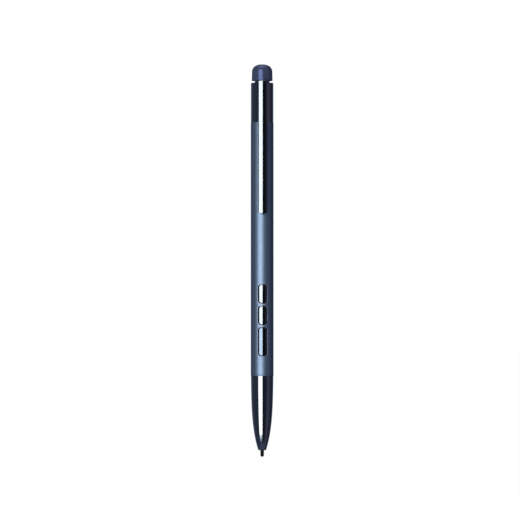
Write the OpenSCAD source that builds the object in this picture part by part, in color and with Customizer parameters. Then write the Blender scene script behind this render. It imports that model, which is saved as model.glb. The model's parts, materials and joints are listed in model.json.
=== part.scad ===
// Active stylus pen for a drawing tablet.
// The pen stands along Z with the writing point of its nib at the origin.
// The clip and the three side buttons face -Y. All sizes are in millimetres.

/* [Overall] */
// Length of the pen from the writing point to the top of the top button
pen_len = 163.3; // [160:0.1:168]
// Outer diameter of the barrel
barrel_d = 9.5; // [9.4:0.05:9.8]
// Wall thickness of the barrel
barrel_wall = 0.5; // [0.4:0.05:0.55]
// Corner bevel at each end of the barrel
barrel_bevel = 0.12; // [0.05:0.01:0.2]

/* [Nose cone and nib] */
// Length of the nose cone that shows below the barrel
nose_len = 31.05; // [30:0.05:33]
// How far the nib stands out of the nose cone
nib_reach = 2.75; // [2:0.05:3.5]
// Diameter of the nib's exposed end
nib_d = 1.5; // [1.2:0.05:1.7]
// Outer diameter of the nose cone's small end
nose_mouth_d = 3.25; // [3:0.05:3.5]
// How far the nib and its holder give under writing pressure
press_travel = 0.3; // [0.1:0.05:0.4]

/* [Side buttons] */
// Width of a side button
button_w = 3.7; // [3:0.1:4.2]
// Corner radius of a side button
button_corner = 1.35; // [0.8:0.05:1.5]
// Length of the lower side button
long_button_len = 11.95; // [10:0.05:13]
// Length of the middle and upper side buttons
short_button_len = 7.95; // [6.5:0.05:8.5]
// Space between neighbouring side buttons
button_gap = 0.95; // [0.6:0.05:1.2]
// Distance from the barrel's lower end to the lower side button
button_rise = 8.25; // [7:0.05:9]
// Radius of a short side button's convex face
short_crown_r = 3.8; // [3.5:0.1:5.1]
// Radius of the long side button's convex face
long_crown_r = 4.4; // [3.5:0.1:5.1]
// How far the side buttons stand out of the barrel
button_proud = 0.35; // [0.2:0.05:0.5]
// How far a side button travels when it is pressed
button_travel = 0.3; // [0.15:0.05:0.3]

/* [Pull-off cap] */
// Outer diameter of the collar
collar_d = 9.37; // [9.3:0.01:9.38]
// Length of the collar
collar_len = 16.36; // [15:0.01:18]
// Space between the collar and the top button, where the clip comes out
neck_gap = 0.9; // [0.85:0.05:1.2]

/* [Clip] */
// Width of the clip
clip_w = 3.75; // [3:0.05:4]
// Length of the clip's arm
clip_len = 55.4; // [40:0.1:60]
// How far the clip's arm stands off the barrel near its root
clip_standoff = 1.2; // [1:0.1:1.8]
// Thickness of the clip's arm
clip_thick = 0.95; // [0.7:0.05:1.1]
// Radius of the convex front of the clip's arm
clip_crown_r = 4.2; // [3.8:0.1:9]
// Thickness of the clip's ring and of the bridge that passes through the gap
clip_sheet = 0.4; // [0.35:0.05:0.45]

/* [Top button] */
// Height of the top button
top_button_h = 6.89; // [6.5:0.01:8]
// Diameter of the top button at its lower edge
top_button_d = 8.66; // [8.5:0.02:8.9]
// Height of the top button's domed part
dome_h = 3.5; // [3:0.1:4]

/* [Battery] */
// Diameter of the bare AAAA cell
cell_d = 8.1; // [7.8:0.05:8.1]
// Length of the AAAA cell with its positive nub
cell_len = 42.5; // [41:0.1:42.5]

/* [Hidden] */
$fn = 64;
FINISH_BLUE = [0.24, 0.31, 0.46];
FINISH_GLOSS = [0.09, 0.1, 0.15];
FINISH_CHROME = [0.32, 0.35, 0.44];
RUBBER_BLUE = [0.19, 0.21, 0.36];
NIB_BLACK = [0.04, 0.04, 0.05];
PLASTIC_DARK = [0.12, 0.12, 0.13];
PLASTIC_PALE = [0.82, 0.81, 0.77];
BRASS = [0.78, 0.62, 0.3];
STEEL = [0.72, 0.72, 0.73];
BOARD_GREEN = [0.06, 0.28, 0.16];
FLEX_AMBER = [0.75, 0.42, 0.12];
SILICONE = [0.55, 0.56, 0.58];
SLEEVE_GREY = [0.35, 0.37, 0.42];
CERAMIC = [0.86, 0.83, 0.76];

// Heights of the visible joints, from the writing point upwards
nose_z = nib_reach;
barrel_z0 = nose_z + nose_len;
button_z0 = pen_len - top_button_h;
collar_z1 = button_z0 - neck_gap;
collar_z0 = collar_z1 - collar_len;
barrel_z1 = collar_z0 - 0.05;

// Barrel, nose cone and collar radii
barrel_r = barrel_d / 2;
bore_r = barrel_r - barrel_wall;
collar_r = collar_d / 2;
nib_r = nib_d / 2;
slip = 0.03;            // radial clearance of a part that slides or turns
spigot_r = bore_r - slip;
seat = 0.05;            // axial clearance between stacked parts

// Nose cone: a curve from the mouth to the barrel, and a spigot inside the barrel
nose_steps = 28;
nose_drop = collar_r - nose_mouth_d / 2;
nose_spigot_z1 = barrel_z0 + 4.7;
nose_shoulder_z = barrel_z0 - 0.03;
nose_bore_r = 3.4;
nose_mouth_bore_r = nib_r + 0.2;
nose_cone_z = barrel_z0 - 16.8;     // height at which the inner cone meets the bore
nose_throat_z = nose_z + 1.75;

// Nib and its holder
nib_shank_z = nose_z - 0.1;
nib_shank_r = nib_r - 0.17;
nib_stem_z = nose_z + 9.25;
nib_stem_r = 0.45;
nib_stem_len = 6;
holder_z = nib_stem_z + seat;
guide_z = holder_z + 0.6;
flange_z = guide_z + 5.45;
flange_h = 0.95;
sensor_z = flange_z + flange_h + 4.7;
sensor_h = 6.3;
holder_r = 1.4;
push_rod_r = 0.9;
push_rod_z1 = sensor_z + 1.3;
sensor_well_z1 = push_rod_z1 + 4 * press_travel;    // the pad gives a quarter of its height

// Side buttons: centre height, length and crown radius, from the nib end upwards
lower_z = barrel_z0 + button_rise + long_button_len / 2;
middle_z = lower_z + long_button_len / 2 + button_gap + short_button_len / 2;
upper_z = middle_z + short_button_len + button_gap;
BUTTONS = [
    [lower_z, long_button_len, long_crown_r],
    [middle_z, short_button_len, short_crown_r],
    [upper_z, short_button_len, short_crown_r]
];
window_play = 0.12;
lip_out_r = bore_r - 0.06;          // retaining lip under the barrel wall
lip_in_r = lip_out_r - 0.42;
lip_margin = 0.3;
stem_half_w = 0.9;
stem_half_h = 1;
frame_out_r = lip_in_r - button_travel - 0.07;
frame_in_r = frame_out_r - 0.45;

// Circuit board, lying in a tray with its component side to the back
board_z0 = barrel_z0 + 5.7;
board_z1 = barrel_z1 - 51.6;
board_y0 = 0.2;
board_t = 0.8;
board_y1 = board_y0 + board_t;
board_w = 6.6;
tray_r = bore_r - 0.07;
tray_in_r = tray_r - 0.63;
tray_z0 = board_z0 - 0.6;
tray_z1 = board_z1 + 0.7;
bulkhead_h = 1;
SCREW_Z = [board_z1 - 12.5, board_z1 - 3];
switch_h = 0.8;
plunger_r = 0.75;
plunger_face_y = board_y0 - switch_h - 0.35;

// Battery and its contacts
cell_r = cell_d / 2;
nub_r = 1.6;
nub_h = 1;
cell_z0 = tray_z1 + bulkhead_h + 0.4;
cell_z1 = cell_z0 + cell_len;

// Cap: a core with a spigot in the barrel, and the collar round it
core_z0 = collar_z0 - 5.5;
core_r = 4.12;
collar_in_r = core_r + slip;
collar_top_t = 0.6;
shoulder_z = collar_z1 - collar_top_t - seat;
neck_r = 2.6;
neck_bore_r = 2.2;
neck_z1 = button_z0 + 2.4;
pocket_z0 = shoulder_z - 1.45;
seal_z = core_z0 + 3.1;
seal_wire_r = 0.235;
seal_groove_r = 3.73;
seal_groove_half = 0.3;
cavity_r = 3.6;
wire_hole_r = 1;
contact_z = core_z0 + 1.9;
contact_t = 0.3;
cavity_z1 = contact_z + contact_t + seat;
top_board_z = pocket_z0 + 0.5;
top_switch_z = top_board_z + 0.6;
top_plunger_r = 0.7;
top_plunger_z1 = top_switch_z + 1.7;
hollow_z = pen_len - 2.9;           // roof of the hollow inside the top button
hollow_r = 3.5;

// Clip: a ring round the neck, a bridge through the gap and an arm along the barrel.
// Lifting the arm rocks the ring about the nut's front edge, against a disc spring.
ring_z = collar_z1 + seat;
ring_top_z = ring_z + clip_sheet;
ring_in_r = neck_r + 0.1;
ring_out_r = 3.1;
arm_out_y = -(barrel_r + clip_standoff + clip_thick);
arm_lean = 0.45;
clip_z1 = ring_top_z + 0.49;
clip_bend_r = 0.5;
clip_z0 = clip_z1 - clip_len;
clip_corner = 1.25;

// Points of one ring round a coil's wire, at the coil's radius r and height z
function coil_ring(r, z, angle, wire_r, sides) = [
    for (i = [0:sides - 1])
        let (a = 360 * i / sides, out = r + wire_r * cos(a))
        [out * cos(angle), out * sin(angle), z + wire_r * sin(a)]
];

// Outer radius of the nose cone at a share u of the way from the barrel to the mouth
function nose_r(u) = collar_r - nose_drop * (pow(u, 1.4) + 3 * pow(u, 3.9)) / 4;

// Inner radius of the nose cone where it tapers, at height z
function nose_inner_r(z) = nose_mouth_bore_r
    + (z - nose_throat_z) * (nose_bore_r - nose_mouth_bore_r) / (nose_cone_z - nose_throat_z);

// A turned part, from the outline of its right half
module turned(outline) {
    rotate_extrude() polygon(outline);
}

// A plain ring or disc
module ring(r_out, r_in, z0, z1) {
    turned([[r_in, z0], [r_out, z0], [r_out, z1], [r_in, z1]]);
}

// A wound wire spring, with its coil radius going from r0 to r1
module coil(r0, r1, z0, z1, wire_r, turns, steps = 16, sides = 8) {
    n = turns * steps;
    rings = [
        for (k = [0:n])
            let (t = k / n)
            coil_ring(r0 + (r1 - r0) * t, z0 + wire_r + (z1 - z0 - 2 * wire_r) * t,
                360 * k / steps, wire_r, sides)
    ];
    polyhedron(
        points = [for (loop = rings) each loop],
        faces = concat(
            [[for (i = [0:sides - 1]) i]],
            [[for (i = [0:sides - 1]) n * sides + sides - 1 - i]],
            [for (k = [0:n - 1]) for (i = [0:sides - 1]) let (j = (i + 1) % sides) each [
                [k * sides + i, (k + 1) * sides + i, (k + 1) * sides + j],
                [k * sides + i, (k + 1) * sides + j, k * sides + j]
            ]]
        )
    );
}

// A box given by its lowest and highest corner
module block(low, high) {
    translate(low) cube(high - low);
}

module rounded_rectangle(w, h, r) {
    square([w - 2 * r, h], center = true);
    square([w, h - 2 * r], center = true);
    for (x = [-1, 1]) for (y = [-1, 1])
        translate([x * (w / 2 - r), y * (h / 2 - r)]) circle(r);
}

// A prism with a rounded outline in the front view, from y = -depth to the pen's axis
module front_prism(w, h, r, z, depth) {
    translate([0, 0, z]) rotate([90, 0, 0])
        linear_extrude(depth) rounded_rectangle(w, h, r);
}

module barrel() {
    color(FINISH_BLUE) difference() {
        turned([
            [bore_r, barrel_z0], [barrel_r - barrel_bevel, barrel_z0],
            [barrel_r, barrel_z0 + barrel_bevel], [barrel_r, barrel_z1 - barrel_bevel],
            [barrel_r - barrel_bevel, barrel_z1], [bore_r, barrel_z1]
        ]);
        for (b = BUTTONS)
            front_prism(button_w + 2 * window_play, b[1] + 2 * window_play,
                button_corner + window_play, b[0], barrel_r + 1);
    }
}

module nose_cone() {
    color(FINISH_GLOSS) turned(concat(
        [for (i = [0:nose_steps]) let (u = i / nose_steps)
            [nose_r(u), nose_z + (nose_shoulder_z - nose_z) * (1 - u)]],
        [
            [nose_mouth_bore_r, nose_z], [nose_mouth_bore_r, nose_throat_z],
            [nose_bore_r, nose_cone_z], [nose_bore_r, nose_spigot_z1],
            [spigot_r, nose_spigot_z1], [spigot_r, nose_shoulder_z]
        ]
    ));
}

module nib() {
    tip_steps = 8;
    color(NIB_BLACK) turned(concat(
        [for (i = [0:tip_steps]) let (a = 90 * i / tip_steps)
            [nib_r * sin(a), nib_r - nib_r * cos(a)]],
        [
            [nib_r, nib_shank_z], [nib_shank_r, nib_shank_z], [nib_shank_r, nib_stem_z],
            [nib_stem_r, nib_stem_z], [nib_stem_r, nib_stem_z + nib_stem_len],
            [0, nib_stem_z + nib_stem_len]
        ]
    ));
}

// The holder grips the nib's stem, and its push rod reaches the force sensor
module nib_holder() {
    flange_r = 2.4;
    socket_r = nib_stem_r + slip;
    socket_z1 = nib_stem_z + nib_stem_len + 0.2;
    color(PLASTIC_PALE) turned([
        [socket_r, holder_z], [holder_r, holder_z], [holder_r, flange_z], [flange_r, flange_z],
        [flange_r, flange_z + flange_h], [push_rod_r, flange_z + flange_h],
        [push_rod_r, push_rod_z1], [0, push_rod_z1], [0, socket_z1], [socket_r, socket_z1]
    ]);
}

// Plain bearing that keeps the holder in line, seated in the nose cone's inner taper
module nib_guide() {
    out_r = nose_bore_r - 0.1;
    foot_r = nose_inner_r(guide_z) - 0.15;
    color(PLASTIC_DARK) turned([
        [holder_r + seat, guide_z], [foot_r, guide_z], [out_r, nose_cone_z + 0.15],
        [out_r, flange_z - seat], [holder_r + seat, flange_z - seat]
    ]);
}

// Conical electrode that sends the pen's signal, just behind the mouth of the nose cone
module tip_electrode() {
    z0 = nose_z + 3.25;
    z1 = nose_z + 9.2;
    bore_z1 = z0 + 2;
    bore = nib_r + 0.12;
    wall = 0.35;
    r0 = nose_inner_r(z0) - 0.08;
    r1 = nose_inner_r(z1) - 0.08;
    color(BRASS) turned([[bore, z0], [r0, z0], [r1, z1], [r1 - wall, z1], [bore, bore_z1]]);
}

module nib_spring() {
    color(STEEL) coil(1.65, 1.65, flange_z + flange_h + seat, sensor_z - seat, 0.16, 5);
}

module force_sensor() {
    color(STEEL) difference() {
        ring(nose_bore_r - 0.1, 0, sensor_z, sensor_z + sensor_h);
        ring(push_rod_r + 0.12, 0, sensor_z - 1, sensor_well_z1);
    }
}

module sensor_pad() {
    color(SILICONE) ring(push_rod_r, 0, push_rod_z1 + seat, sensor_well_z1 - seat);
}

module sensor_retainer() {
    z0 = sensor_z + sensor_h + seat;
    color(PLASTIC_DARK) ring(nose_bore_r - 0.05, 1.8, z0, z0 + 2);
}

module sensor_flex() {
    color(FLEX_AMBER)
        block([-1.2, 0.02, sensor_z + sensor_h + 0.02], [1.2, 0.17, board_z0 + 2.4]);
}

// Half-round tray for the circuit board, closed by a bulkhead towards the battery
module chassis() {
    boss_r = 1.15;
    pilot_r = 0.62;
    rail_x = 3.25;
    rail_half_w = 0.35;
    color(PLASTIC_DARK) difference() {
        union() {
            difference() {
                ring(tray_r, 0, tray_z0, tray_z1);
                ring(tray_in_r, 0, tray_z0 - 1, tray_z1 + 1);
                block([-barrel_r, -barrel_r, tray_z0 - 1], [barrel_r, -0.4, tray_z1 + 1]);
            }
            intersection() {
                ring(tray_r - 0.3, 0, tray_z0, tray_z1);
                for (side = [-1, 1])
                    block([side * rail_x - rail_half_w, board_y1, tray_z0],
                        [side * rail_x + rail_half_w, board_y1 + 0.7, tray_z1]);
            }
            for (z = SCREW_Z)
                translate([0, board_y1, z]) rotate([-90, 0, 0])
                    cylinder(r = boss_r, h = tray_in_r - board_t);
            ring(tray_r, 0, tray_z1, tray_z1 + bulkhead_h);
        }
        for (z = SCREW_Z)
            translate([0, 0, z]) rotate([-90, 0, 0]) cylinder(r = pilot_r, h = 3.3);
        block([-0.8, -0.5, tray_z1 - 1], [0.8, 0.3, tray_z1 + 2]);
    }
}

module main_board() {
    color(BOARD_GREEN) difference() {
        block([-board_w / 2, board_y0, board_z0], [board_w / 2, board_y1, board_z1]);
        for (z = SCREW_Z)
            translate([0, 0, z]) rotate([-90, 0, 0]) cylinder(r = 0.68, h = 3);
    }
}

module board_screws() {
    head_r = 1.05;
    shank_r = 0.59;
    slot_reach = 0.75;
    slot_half_w = 0.12;
    color(STEEL) for (z = SCREW_Z) difference() {
        translate([0, board_y0 - 0.5, z]) rotate([-90, 0, 0]) {
            cylinder(r = head_r, h = 0.49);
            cylinder(r = shank_r, h = 3.2);
        }
        translate([0, board_y0 - 1, z]) rotate([-90, 0, 0]) {
            block([-slot_reach, -slot_half_w, 0], [slot_reach, slot_half_w, 0.75]);
            block([-slot_half_w, -slot_reach, 0], [slot_half_w, slot_reach, 0.75]);
        }
    }
}

module switch_bodies() {
    half = 1.5;
    color(STEEL) for (b = BUTTONS) difference() {
        block([-half, board_y0 - switch_h, b[0] - half], [half, board_y0, b[0] + half]);
        translate([0, board_y0 - 1, b[0]]) rotate([-90, 0, 0]) cylinder(r = plunger_r + 0.06, h = 2);
    }
}

module switch_plunger(b) {
    color(NIB_BLACK) translate([0, plunger_face_y, b[0]])
        rotate([-90, 0, 0]) cylinder(r = plunger_r, h = switch_h);
}

// A key with a lip that the barrel wall retains, and a stem down to its switch
module side_button(b) {
    lip = lip_margin + window_play;
    color(FINISH_CHROME) {
        difference() {
            union() {
                intersection() {
                    front_prism(button_w, b[1], button_corner, b[0], barrel_r + 1);
                    translate([0, b[2] - barrel_r - button_proud, 0])
                        ring(b[2], 0, b[0] - b[1], b[0] + b[1]);
                }
                intersection() {
                    front_prism(button_w + 2 * lip, b[1] + lip, button_corner + lip, b[0], barrel_r);
                    ring(lip_out_r, 0, b[0] - b[1], b[0] + b[1]);
                }
            }
            ring(lip_in_r, 0, b[0] - b[1], b[0] + b[1]);
        }
        block([-stem_half_w, -lip_in_r - 0.15, b[0] - stem_half_h],
            [stem_half_w, plunger_face_y, b[0] + stem_half_h]);
    }
}

// Arched frame over the switches that keeps the side buttons in line
module button_frame() {
    play = 0.2;
    z0 = BUTTONS[0][0] - BUTTONS[0][1] / 2;
    z1 = BUTTONS[2][0] + BUTTONS[2][1] / 2;
    color(PLASTIC_DARK) difference() {
        ring(frame_out_r, frame_in_r, z0, z1);
        block([-barrel_r, board_y0 - 0.05, z0 - 1], [barrel_r, barrel_r, z1 + 1]);
        for (b = BUTTONS)
            block([-stem_half_w - play, -barrel_r, b[0] - stem_half_h - play],
                [stem_half_w + play, -1, b[0] + stem_half_h + play]);
    }
}

// A component on the back of the circuit board, at height z
module board_part(w, h, t, z, x = 0) {
    block([x - w / 2, board_y1, z - h / 2], [x + w / 2, board_y1 + t, z + h / 2]);
}

module processor() {
    color(NIB_BLACK) board_part(4.2, 4.2, 0.85, board_z0 + 20);
}

module radio_shield() {
    color(STEEL) board_part(4.8, 6.5, 1.2, board_z0 + 28);
}

module crystal() {
    color(STEEL) board_part(1.6, 2.5, 0.5, board_z0 + 14.5);
}

module power_inductor() {
    color(SILICONE) board_part(3, 3, 1.4, board_z0 + 9);
}

module chip_antenna() {
    color(CERAMIC) board_part(1.6, 3.2, 0.6, board_z1 - 7);
}

module board_passives() {
    color(CERAMIC) for (x = [-2, 2]) for (k = [0:3])
        board_part(0.5, 1, 0.5, board_z0 + 3 + 4 * k, x);
}

// AAAA cell with its positive nub towards the circuit board
module battery() {
    color(STEEL) turned([
        [0, cell_z0], [nub_r, cell_z0], [nub_r, cell_z0 + nub_h], [cell_r, cell_z0 + nub_h],
        [cell_r, cell_z1], [0, cell_z1]
    ]);
}

module battery_sleeve() {
    color(SLEEVE_GREY) ring(cell_r + 0.08, cell_r + 0.01, cell_z0 + nub_h + 0.4, cell_z1 - 0.4);
}

module battery_contact() {
    z = tray_z1 + bulkhead_h + 0.03;
    color(STEEL) {
        ring(2.4, 0, z, z + 0.3);
        block([-0.6, -0.25, board_z1 - 1], [0.6, 0.15, z + 0.1]);
    }
}

module battery_spring() {
    color(STEEL) coil(1.7, 3, cell_z1 + 0.04, contact_z - 0.04, 0.22, 3.5);
}

// Plastic core of the cap: spigot, seal groove, body and neck
module cap_core() {
    color(PLASTIC_DARK) turned([
        [cavity_r, core_z0], [spigot_r, core_z0], [spigot_r, seal_z - seal_groove_half],
        [seal_groove_r, seal_z - seal_groove_half], [seal_groove_r, seal_z + seal_groove_half],
        [spigot_r, seal_z + seal_groove_half], [spigot_r, collar_z0 - seat],
        [core_r, collar_z0 - seat], [core_r, shoulder_z], [neck_r, shoulder_z],
        [neck_r, neck_z1], [neck_bore_r, neck_z1], [neck_bore_r, pocket_z0],
        [wire_hole_r, pocket_z0], [wire_hole_r, cavity_z1], [cavity_r, cavity_z1]
    ]);
}

module cap_contact() {
    color(STEEL) ring(cavity_r - seat, 0, contact_z, contact_z + contact_t);
}

module cap_seal() {
    color(NIB_BLACK) rotate_extrude()
        translate([seal_groove_r + 0.02 + seal_wire_r, seal_z]) circle(seal_wire_r);
}

module cap_wires() {
    color(FLEX_AMBER) for (x = [-0.45, 0.45])
        translate([x, 0, cavity_z1]) cylinder(r = 0.24, h = top_board_z - cavity_z1 - seat);
}

module collar() {
    bevel = 0.12;
    edge = 0.06;
    neck_hole_r = 3.3;
    color(FINISH_GLOSS) turned([
        [collar_in_r, collar_z0], [collar_r - edge, collar_z0], [collar_r, collar_z0 + edge],
        [collar_r, collar_z1 - bevel], [collar_r - bevel, collar_z1], [neck_hole_r, collar_z1],
        [neck_hole_r, collar_z1 - collar_top_t], [collar_in_r, collar_z1 - collar_top_t]
    ]);
}

// Side view of the clip as [y, z] points: bridge, shoulder, arm and the pad at its free end
function clip_side() = let (
    out = arm_out_y, inner = arm_out_y + clip_thick, bend = clip_bend_r
) [
    [-ring_in_r - 0.15, ring_z], [inner + 0.25, ring_z], [inner, ring_z - 0.35],
    [inner + arm_lean, clip_z0 + 6], [-barrel_r - 0.06, clip_z0 + 4.6],
    [-barrel_r - 0.06, clip_z0 + 3.6], [inner + arm_lean, clip_z0 + 2.2],
    [inner + arm_lean, clip_z0], [out + arm_lean + 0.3, clip_z0], [out + arm_lean, clip_z0 + 0.6],
    for (a = [0:22.5:90]) [out + bend - bend * cos(a), clip_z1 - bend + bend * sin(a)],
    [-top_button_d / 2 - 0.2, clip_z1], [-top_button_d / 2 - 0.1, ring_top_z],
    [-ring_in_r - 0.15, ring_top_z]
];

module clip() {
    height = clip_z1 - clip_z0;
    color(FINISH_CHROME) {
        ring(ring_out_r, ring_in_r, ring_z, ring_top_z);
        intersection() {
            rotate([90, 0, 90]) translate([0, 0, -clip_w / 2])
                linear_extrude(clip_w) polygon(clip_side());
            front_prism(clip_w, height + 4, clip_corner, clip_z0 + height / 2 + 2, 12);
            translate([0, arm_out_y + clip_crown_r, clip_z0 - 1])
                cylinder(r = clip_crown_r, h = height + 4);
        }
    }
}

// Coned disc spring that presses the clip's ring up against the nut
module clip_spring() {
    sheet = 0.18;
    in_r = neck_r + 0.05;
    out_r = 3.25;
    z0 = shoulder_z + 0.02;
    z1 = ring_z - 0.02;
    color(STEEL) turned([[in_r, z1 - sheet], [in_r, z1], [out_r, z0 + sheet], [out_r, z0]]);
}

// Nut that holds the clip's ring on the neck and keeps the top button from coming off
module clip_nut() {
    in_r = neck_r + 0.02;
    body_r = 3.05;
    flange_r = 3.4;
    z0 = ring_top_z + 0.02;
    z1 = button_z0 + 0.8;
    z2 = z1 + 0.7;
    color(FINISH_GLOSS) turned([
        [in_r, z0], [body_r, z0], [body_r, z1], [flange_r, z1], [flange_r, z2], [in_r, z2]
    ]);
}

// The dome is a superellipse, squarer than a plain half ellipse
module top_button() {
    dome_power = 2 / 2.4;
    r0 = top_button_d / 2;
    r1 = r0 - 0.07;
    foot = 0.25;
    lip_r = 3.15;
    lip_z1 = button_z0 + 0.5;
    dome_z = pen_len - dome_h;
    color(RUBBER_BLUE) turned(concat(
        [
            [lip_r, button_z0], [r0 - foot, button_z0], [r0, button_z0 + foot], [r1, dome_z]
        ],
        [for (a = [6:6:84])
            [r1 * pow(cos(a), dome_power), dome_z + dome_h * pow(sin(a), dome_power)]],
        [
            [0, pen_len], [0, hollow_z], [hollow_r, hollow_z], [hollow_r, lip_z1],
            [lip_r, lip_z1]
        ]
    ));
}

module top_button_carrier() {
    stem_r = 0.85;
    disc_r = hollow_r - seat;
    disc_z1 = hollow_z - seat;
    disc_z0 = disc_z1 - 1;
    color(PLASTIC_PALE) turned([
        [0, top_plunger_z1], [stem_r, top_plunger_z1], [stem_r, disc_z0], [disc_r, disc_z0],
        [disc_r, disc_z1], [0, disc_z1]
    ]);
}

module top_switch_body() {
    half = 1.45;
    color(STEEL) difference() {
        block([-half, -half, top_switch_z], [half, half, top_switch_z + 1.2]);
        ring(top_plunger_r + 0.06, 0, top_switch_z - 1, top_switch_z + 2);
    }
}

module top_switch_plunger() {
    color(NIB_BLACK) ring(top_plunger_r, 0, top_switch_z + 0.4, top_plunger_z1);
}

module top_board() {
    color(BOARD_GREEN) ring(neck_bore_r - 0.05, 0, top_board_z, top_switch_z);
}

barrel();
nose_cone();
nib();
nib_holder();
nib_guide();
tip_electrode();
nib_spring();
force_sensor();
sensor_pad();
sensor_retainer();
sensor_flex();
chassis();
main_board();
board_screws();
switch_bodies();
switch_plunger(BUTTONS[0]);  // switch_plunger_lower
switch_plunger(BUTTONS[1]);  // switch_plunger_middle
switch_plunger(BUTTONS[2]);  // switch_plunger_upper
side_button(BUTTONS[0]);  // side_button_lower
side_button(BUTTONS[1]);  // side_button_middle
side_button(BUTTONS[2]);  // side_button_upper
button_frame();
processor();
radio_shield();
crystal();
power_inductor();
chip_antenna();
board_passives();
battery();
battery_sleeve();
battery_contact();
battery_spring();
cap_core();
cap_contact();
cap_seal();
cap_wires();
collar();
clip();
clip_spring();
clip_nut();
top_button();
top_button_carrier();
top_switch_body();
top_switch_plunger();
top_board();
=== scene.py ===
"""Looks of the active stylus pen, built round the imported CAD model. Lengths are in metres."""

import json
import math

import bmesh
import bpy
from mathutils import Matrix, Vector
from mathutils.geometry import delaunay_2d_cdt


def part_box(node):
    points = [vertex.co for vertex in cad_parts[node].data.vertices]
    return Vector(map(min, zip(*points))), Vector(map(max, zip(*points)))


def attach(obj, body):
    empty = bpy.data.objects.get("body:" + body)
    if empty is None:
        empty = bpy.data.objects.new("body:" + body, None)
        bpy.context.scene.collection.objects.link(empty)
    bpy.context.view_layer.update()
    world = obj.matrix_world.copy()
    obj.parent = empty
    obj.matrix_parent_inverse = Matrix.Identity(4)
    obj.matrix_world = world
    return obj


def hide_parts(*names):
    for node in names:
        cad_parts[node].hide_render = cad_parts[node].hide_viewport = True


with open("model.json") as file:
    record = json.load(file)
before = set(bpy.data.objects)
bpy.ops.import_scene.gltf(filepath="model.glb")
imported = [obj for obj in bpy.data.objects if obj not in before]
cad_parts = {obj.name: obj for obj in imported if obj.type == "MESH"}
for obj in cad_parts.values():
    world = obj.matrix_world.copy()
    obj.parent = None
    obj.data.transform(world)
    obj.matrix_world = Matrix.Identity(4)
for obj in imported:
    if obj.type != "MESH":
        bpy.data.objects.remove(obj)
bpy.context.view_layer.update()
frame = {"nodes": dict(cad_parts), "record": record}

MM = 0.001
TURN = 2 * math.pi


# ---------------------------------------------------------------- sizes taken from the CAD nodes

def span(node, axis):
    """Lowest and highest coordinate of a CAD node along axis 0, 1 or 2."""
    low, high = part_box(node)
    return low[axis], high[axis]


def radius_of(node):
    """Radius of a CAD node that is round about the pen's axis, as its mesh reaches on every side."""
    low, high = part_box(node)
    return min(-low[0], high[0], -low[1], high[1])


BARREL_R = radius_of("barrel")
BARREL_Z0, BARREL_Z1 = span("barrel", 2)
BARREL_WALL = 0.5 * MM
BORE_R = BARREL_R - BARREL_WALL
COLLAR_R = radius_of("collar")
COLLAR_Z0, COLLAR_Z1 = span("collar", 2)
NOSE_Z0, NOSE_Z1 = span("nose_cone", 2)
NOSE_MOUTH_R = 1.625 * MM
NIB_R = radius_of("nib")
NIB_Z0, NIB_Z1 = span("nib", 2)
CORE_Z0, CORE_Z1 = span("cap_core", 2)
NUT_Z0, NUT_Z1 = span("clip_nut", 2)
CLIP_Z0, CLIP_Z1 = span("clip", 2)
CLIP_W, CLIP_CROWN_R = 3.75 * MM, 4.2 * MM
CLIP_OUT_Y = span("clip", 1)[0]
RING_Z0, RING_Z1 = COLLAR_Z1 + 0.05 * MM, COLLAR_Z1 + 0.45 * MM
TOP_R = radius_of("top_button")
TOP_Z0, TOP_Z1 = span("top_button", 2)
NECK_R = 2.6 * MM

BUTTON_W = 3.7 * MM
BUTTON_CORNER = 1.35 * MM
BUTTON_PLAY = 0.12 * MM
BUTTON_LIP = 0.42 * MM
SHORT_CROWN_R, LONG_CROWN_R = 3.8 * MM, 4.4 * MM


def measured_face(name):
    """Centre height and length of a side button's visible face."""
    low, high = span("side_button_" + name, 2)
    return (low + high) / 2, high - low - BUTTON_LIP


BUTTONS = {name: measured_face(name) for name in ("lower", "middle", "upper")}


# ---------------------------------------------------------------- mesh helpers

def finish_mesh(name, bm, body, material, sharp=40):
    """Turns a bmesh into a named piece with smooth faces that rides on a body."""
    bmesh.ops.remove_doubles(bm, verts=bm.verts, dist=0.0005 * MM)
    bmesh.ops.recalc_face_normals(bm, faces=bm.faces)
    mesh = bpy.data.meshes.new(name)
    bm.to_mesh(mesh)
    bm.free()
    mesh.shade_smooth()
    mesh.set_sharp_from_angle(angle=math.radians(sharp))
    piece = bpy.data.objects.new(name, mesh)
    bpy.context.scene.collection.objects.link(piece)
    mesh.materials.append(material)
    weighted = piece.modifiers.new("weighted_normals", "WEIGHTED_NORMAL")
    weighted.keep_sharp = True
    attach(piece, body)
    return piece


def arc(centre_r, centre_z, radius, start, end, steps):
    """Points of an arc in a profile, as (r, z) pairs; angles in degrees, 0 outwards, 90 up."""
    angles = [math.radians(start + (end - start) * k / steps) for k in range(steps + 1)]
    return [(centre_r + radius * math.cos(a), centre_z + radius * math.sin(a)) for a in angles]


def add_turned(bm, profile, segments):
    """Adds a closed surface of revolution about the pen's axis, from a closed (r, z) outline."""
    rings = []
    for r, z in profile:
        if r < 1e-7:
            rings.append([bm.verts.new((0, 0, z))])
            continue
        rings.append([
            bm.verts.new((r * math.sin(TURN * k / segments), -r * math.cos(TURN * k / segments), z))
            for k in range(segments)
        ])
    for a, b in zip(rings, rings[1:] + rings[:1]):
        if len(a) == 1 and len(b) == 1:
            continue
        for k in range(segments):
            n = (k + 1) % segments
            corners = []
            for v in (a[k % len(a)], a[n % len(a)], b[n % len(b)], b[k % len(b)]):
                if v not in corners:
                    corners.append(v)
            bm.faces.new(corners)


def turned(name, profile, body, material, segments, sharp=40):
    """A turned piece, from the closed outline of its right half."""
    bm = bmesh.new()
    add_turned(bm, profile, segments)
    return finish_mesh(name, bm, body, material, sharp)


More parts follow.
